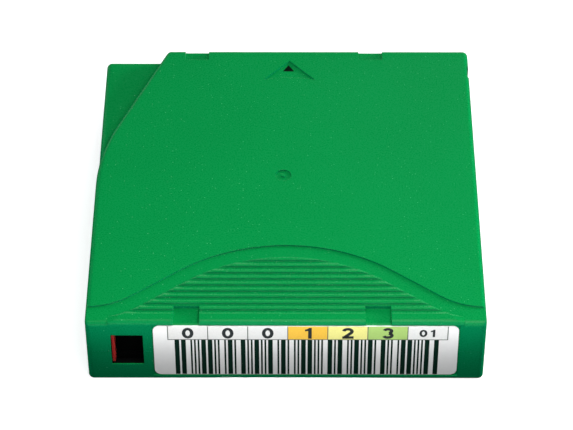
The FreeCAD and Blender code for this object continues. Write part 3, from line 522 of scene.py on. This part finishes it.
def digit_shapes(digit):
    """The outlines of a 0, 1, 2 or 3 one unit high, about its middle line."""
    if digit == "0":
        return band(arc((0, 0.5), (0.26, 0.388), 0, 360)[:-1], closed=True)
    if digit == "1":
        return [[(0.02, 0), (0.25, 0), (0.25, 1), (0.08, 1), (0.0, 0.9), (-0.18, 0.84),
                 (-0.18, 0.68), (0.02, 0.72)]]
    if digit == "2":
        bow = arc((0, 0.67), (0.26, 0.218), 172, -32)
        return band(bow + [(-0.2, 0.14)]) + [rectangle(-0.35, 0.37, 0, DIGIT_STROKE)]
    upper = arc((0, 0.71), (0.23, 0.178), 165, -75)
    lower = arc((0, 0.3), (0.26, 0.188), 75, -165)
    return band(upper) + band(lower)


def make_digits():
    """A number in the middle of each cell of the label."""
    pieces = []
    for index, text in enumerate(DIGITS):
        height = DIGIT_HEIGHT if len(text) == 1 else SMALL_DIGIT_HEIGHT
        middle = cell_left(index) + CELL_PITCH / 2
        floor = CELL_BASE + (CELL_HEIGHT - height) / 2
        outlines = []
        for place, digit in enumerate(text):
            shift = (place - (len(text) - 1) / 2) * DIGIT_PITCH
            for shape in digit_shapes(digit):
                points = [(middle + (u + shift) * height, floor + v * height) for u, v in shape]
                outlines.append((points, 0))
        name = "label_digit_%d" % (index + 1)
        pieces.append(flat_pieces(name, outlines, [DIGIT_INK], 3 * INK, on_label))
    return pieces


# the arrow printed on the floor of the pocket at the insertion end
POCKET_DEPTH = 0.4 * MM
ARROW_FLOOR = CASE_TOP - POCKET_DEPTH
ARROW_X = 0.5 * MM
ARROW_TIP_Y, ARROW_BASE_Y = 46.55 * MM, 43.95 * MM
ARROW_HALF = 1.6 * MM


def make_arrow():
    """A plain triangle that points the way in."""
    corners = [(ARROW_X - ARROW_HALF, ARROW_BASE_Y), (ARROW_X + ARROW_HALF, ARROW_BASE_Y),
               (ARROW_X, ARROW_TIP_Y)]

    def on_floor(x, y, proud):
        return Vector((x, y, ARROW_FLOOR + proud))

    return flat_pieces("insertion_arrow_print", [(corners, 0)], [ARROW_INK], 2 * INK,
                       on_floor)


# painted shade inside the write-protect window: near-black sheets, the window they line,
# the rail behind the tab's track, and the back sheet that closes the view inwards
SHADE_SHEET = 0.06 * MM
SHADE_SHEET_INSET = 0.3 * MM
WALL = 2.0 * MM
WINDOW_INSET = 6.4 * MM
WINDOW_WIDTH = 8.2 * MM
WINDOW_DROP = 5.0 * MM
WINDOW_LEFT = CASE_LEFT + WINDOW_INSET
WINDOW_RIGHT = WINDOW_LEFT + WINDOW_WIDTH
WINDOW_BASE = 5.7 * MM
WINDOW_TOP = CASE_TOP - WINDOW_DROP
SHADE_SHEET_FRONT = CASE_FRONT + SHADE_SHEET_INSET
SHADE_SHEET_REAR = CASE_FRONT + WALL
RAIL_FRONT = CASE_FRONT + 3.7 * MM
RAIL_REAR = RAIL_FRONT + 0.8 * MM
RAIL_TOP = WINDOW_BASE + 0.1 * MM
RAIL_LEFT = CASE_LEFT + 2.1 * MM
RAIL_BASE = 1.6 * MM
SHADE_LEFT = CASE_LEFT + 4.0 * MM


def add_sheet(bm, low, high):
    """A thin sheet with softened edges between two corners."""
    corners = bmesh.ops.create_cube(bm, size=1.0)["verts"]
    for vertex in corners:
        vertex.co = Vector(high[i] if vertex.co[i] > 0 else low[i] for i in range(3))
    edges = {edge for vertex in corners for edge in vertex.link_edges}
    bmesh.ops.bevel(bm, geom=list(edges), offset=SHADE_SHEET / 4, segments=1, affect="EDGES")


def make_shade_sheets():
    """Near-black sheets of painted shade on the window's four sides, on the rail and behind it.
    """
    left, right, base, top = WINDOW_LEFT, WINDOW_RIGHT, WINDOW_BASE, WINDOW_TOP
    front, rear = SHADE_SHEET_FRONT, SHADE_SHEET_REAR
    rail_front = RAIL_FRONT - SHADE_SHEET
    sheets = [
        ((left, front, base), (right, rear, base + SHADE_SHEET)),
        ((left, front, top - SHADE_SHEET), (right, rear, top)),
        ((left, front, base), (left + SHADE_SHEET, rear, top)),
        ((right - SHADE_SHEET, front, base), (right, rear, top)),
        ((RAIL_LEFT, rail_front, RAIL_BASE), (right, RAIL_FRONT, RAIL_TOP)),
        ((RAIL_LEFT, rail_front, RAIL_TOP), (right, RAIL_REAR, RAIL_TOP + SHADE_SHEET)),
        ((SHADE_LEFT, RAIL_REAR + SHADE_SHEET, RAIL_TOP), (right, RAIL_REAR + 2 * SHADE_SHEET, top)),
    ]
    bm = bmesh.new()
    for low, high in sheets:
        add_sheet(bm, low, high)
    mesh = bpy.data.meshes.new("window_shade_sheets")
    bm.to_mesh(mesh)
    bm.free()
    mesh.materials.append(SHADE)
    return add_to_scene(bpy.data.objects.new("window_shade_sheets", mesh))


# near-black sheets of painted shade inside the window
shade_sheets = make_shade_sheets()
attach(shade_sheets, "case")

for piece in [make_cells(), make_cell_lines(), make_bars(), *make_digits()]:
    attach(piece, "case")
arrow = make_arrow()
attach(arrow, "case")


# ---------------------------------------------------------------- stage
FLOOR_HALF = 3.0
FLOOR_GAP = 0.1 * MM
FLOOR_GLOW = 0.75
HORIZON = 0.05
SKY_STRENGTH = 0.10
SKY_TINT = (0.97, 1.0, 1.02, 1.0)
SIDE_TINT = (0.85, 1.0, 1.1)


def see_through_from_below(mat):
    """Let a view from under the floor show the underside."""
    nodes = mat.tree.nodes
    clear = nodes.new("ShaderNodeBsdfTransparent")
    side = nodes.new("ShaderNodeNewGeometry")
    choice = nodes.new("ShaderNodeMixShader")
    out = nodes["Material Output"]
    mat.link(side.outputs["Backfacing"], choice, 0)
    mat.link(mat.shader.outputs["BSDF"], choice, 1)
    mat.link(clear.outputs["BSDF"], choice, 2)
    mat.link(choice.outputs["Shader"], out, "Surface")


def make_floor():
    """A white floor just under the case, which neither lights nor shades it."""
    mesh = bpy.data.meshes.new("studio_floor")
    corners = rectangle(-FLOOR_HALF, FLOOR_HALF, -FLOOR_HALF, FLOOR_HALF)
    mesh.from_pydata([(x, y, 0) for x, y in corners], [], [(0, 1, 2, 3)])
    mat = Nodes("studio_floor")
    mat.colour(mat.mix(mat.noise(6, 2), (0.50, 0.50, 0.50), (0.53, 0.53, 0.53)))
    mat.set(Roughness=0.8, Specular_IOR_Level=0.0, Emission_Strength=FLOOR_GLOW)
    mat.shader.inputs["Emission Color"].default_value = (1.0, 1.0, 1.0, 1.0)
    see_through_from_below(mat)
    mesh.materials.append(mat.material)
    floor = add_to_scene(bpy.data.objects.new("studio_floor", mesh))
    floor.location.z = -FLOOR_GAP
    floor.visible_diffuse = False
    floor.visible_glossy = False
    floor.visible_shadow = False


def area_light(name, place, target, size, power, tint=(1.0, 1.0, 1.0), depth=None,
               glossy=True):
    """A soft light at place, facing target; depth makes it a strip, and a light
    that isn't glossy shows in no reflection."""
    data = bpy.data.lights.new(name, "AREA")
    data.size = size
    if depth:
        data.shape = "RECTANGLE"
        data.size_y = depth
    data.energy = power
    data.color = tint
    light = add_to_scene(bpy.data.objects.new(name, data))
    light.location = place
    light.rotation_mode = "QUATERNION"
    light.rotation_quaternion = (Vector(target) - Vector(place)).to_track_quat("-Z", "Y")
    light.visible_camera = False
    light.visible_glossy = glossy


def make_world():
    """A pale sky above the horizon and none below, so that no side is lit from below."""
    world = bpy.data.worlds.new("studio_world")
    world.use_nodes = True
    tree = world.node_tree
    place = tree.nodes.new("ShaderNodeTexCoord")
    parts = tree.nodes.new("ShaderNodeSeparateXYZ")
    level = tree.nodes.new("ShaderNodeMapRange")
    level.inputs["From Min"].default_value = -HORIZON
    level.inputs["From Max"].default_value = HORIZON
    level.inputs["To Max"].default_value = SKY_STRENGTH
    background = tree.nodes["Background"]
    background.inputs["Color"].default_value = SKY_TINT
    tree.links.new(place.outputs["Generated"], parts.inputs[0])
    tree.links.new(parts.outputs["Z"], level.inputs["Value"])
    tree.links.new(level.outputs["Result"], background.inputs["Strength"])
    bpy.context.scene.world = world


def make_camera():
    data = bpy.data.cameras.new("camera")
    data.sensor_width = SENSOR_WIDTH
    data.lens = FOCAL_LENGTH
    camera = add_to_scene(bpy.data.objects.new("camera", data))
    turn = Matrix((CAMERA_RIGHT, CAMERA_UP, -CAMERA_FORWARD)).transposed().to_4x4()
    camera.matrix_world = Matrix.Translation(CAMERA_PLACE) @ turn
    bpy.context.scene.camera = camera


def make_lights():
    """Places and sizes in metres, powers in watts."""
    middle, rim = (0.0, 0.0, 0.0), (0.0, 0.0, 0.02)
    area_light("top_light", (0.05, -0.10, 0.25), (0.0, -0.01, 0.0), size=0.2, power=0.72)
    area_light("key_light", (0.18, 0.95, 0.46), middle, size=0.30, power=4.0, glossy=False)
    area_light("low_light", (0.93, 0.30, 0.255), rim, size=0.3, power=15.0, glossy=False)
    area_light("side_light", (-0.60, 0.10, 0.12), rim, size=0.3, power=2.2, tint=SIDE_TINT,
               glossy=False)
    area_light("rear_light", (-0.10, 0.90, 0.12), rim, size=1.4, power=1.4, depth=0.16)
    area_light("under_light", (0.0, 0.0, -0.30), middle, size=0.06, power=0.6)
    # grazes the front face from just above it, so that the face darkens downwards
    area_light("front_strip", (0.0, CASE_FRONT - 0.013, 0.022), (0.0, CASE_FRONT, 0.022),
               size=0.12, power=0.0105, depth=0.006, glossy=False)


make_floor()
make_world()
make_lights()
make_camera()
bpy.context.scene.view_settings.view_transform = "Standard"
